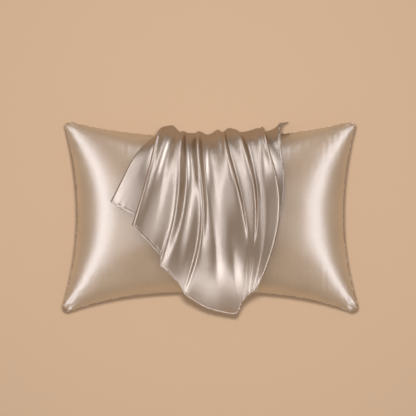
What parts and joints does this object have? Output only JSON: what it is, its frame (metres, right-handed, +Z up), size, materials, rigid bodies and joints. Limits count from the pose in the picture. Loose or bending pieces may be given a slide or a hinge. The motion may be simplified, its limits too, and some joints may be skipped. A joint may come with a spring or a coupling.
{
  "type": "pillowcase draped over a cased pillow",
  "caption": "Satin pillowcase, pleated and draped over the crown of a pillow in a matching case, with its corner hanging past the near edge.",
  "frame": {"origin": "middle of the bounding box at its bottom, where the pillow's underside rests", "axes": "+X along the pillow's length, +Y towards the long edge over which the loose case is gathered, +Z up through the crown"},
  "size_m": [0.7382, 0.485, 0.1834],
  "materials": {
    "satin_front": "satin",
    "satin_back": "satin",
    "satin_champagne": "satin"
  },
  "bodies": {
    "root": {"loose_case_front": "satin_front", "loose_case_back": "satin_back", "filled_case": "satin_champagne"}
  },
  "joints": []
}
